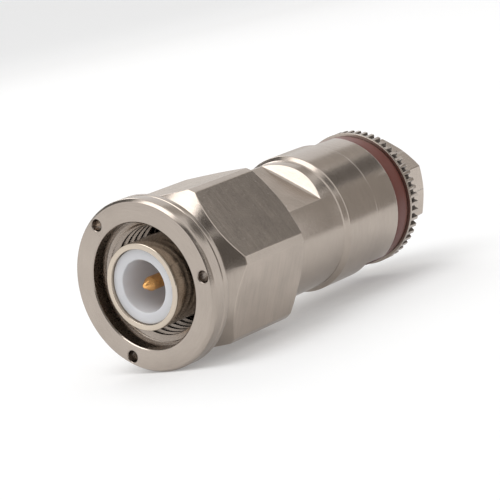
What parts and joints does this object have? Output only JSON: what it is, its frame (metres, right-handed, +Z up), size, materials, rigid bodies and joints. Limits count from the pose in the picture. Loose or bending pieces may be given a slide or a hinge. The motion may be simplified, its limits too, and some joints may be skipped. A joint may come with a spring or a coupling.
{
  "type": "coaxial connector plug",
  "caption": "Straight threaded coaxial cable plug with a hexagon coupling nut, gold centre pin in a white insulator and a notched clamp nut at the cable end.",
  "frame": {"origin": "on the plug's axis in the plane of the coupling nut's front face", "axes": "-X out of the mating end, +X towards the cable end, +Z up with the plug lying on its side"},
  "size_m": [0.0394, 0.0162, 0.016],
  "materials": {
    "plated_nut": "turned and milled, warm grey plating, satin",
    "plated_body": "fine turned, warm grey plating, satin",
    "plated_clamp": "milled, warm grey plating, satin",
    "plated_inner": "turned, warm grey plating",
    "spring_bronze": "plain spring bronze",
    "gold_contact": "gold plated",
    "white_insulator": "waxy white fluoropolymer",
    "red_silicone": "matt brown-red silicone",
    "dark_silicone": "matt dark silicone"
  },
  "bodies": {
    "plug": {"body": "plated_body", "front_insulator": "white_insulator", "rear_insulator": "white_insulator", "centre_contact": "gold_contact", "snap_ring": "spring_bronze", "mating_gasket": "dark_silicone", "braid_clamp": "plated_inner", "cable_seal": "dark_silicone", "seal_washer": "plated_inner"},
    "nut": {"coupling_nut": "plated_nut"},
    "clamp_carriage": {"sealing_ring": "red_silicone"},
    "clamp": {"clamp_nut": "plated_clamp"}
  },
  "joints": [
    {"name": "nut_spin", "type": "hinge", "parent": "plug", "child": "nut", "pos_m": [0.007, 0, 0], "axis": [-1, 0, 0], "continuous": true},
    {"name": "clamp_travel", "type": "slide", "parent": "plug", "child": "clamp_carriage", "axis": [1, 0, 0], "range_m": [0, 0.005]},
    {"name": "clamp_turn", "type": "hinge", "parent": "clamp_carriage", "child": "clamp", "pos_m": [0.034, 0, 0], "axis": [1, 0, 0], "range_deg": [0, 1800]}
  ],
  "couplings": [
    {"joint": "clamp_travel", "follows": "clamp_turn", "m_per_rad": 0.00015915}
  ]
}
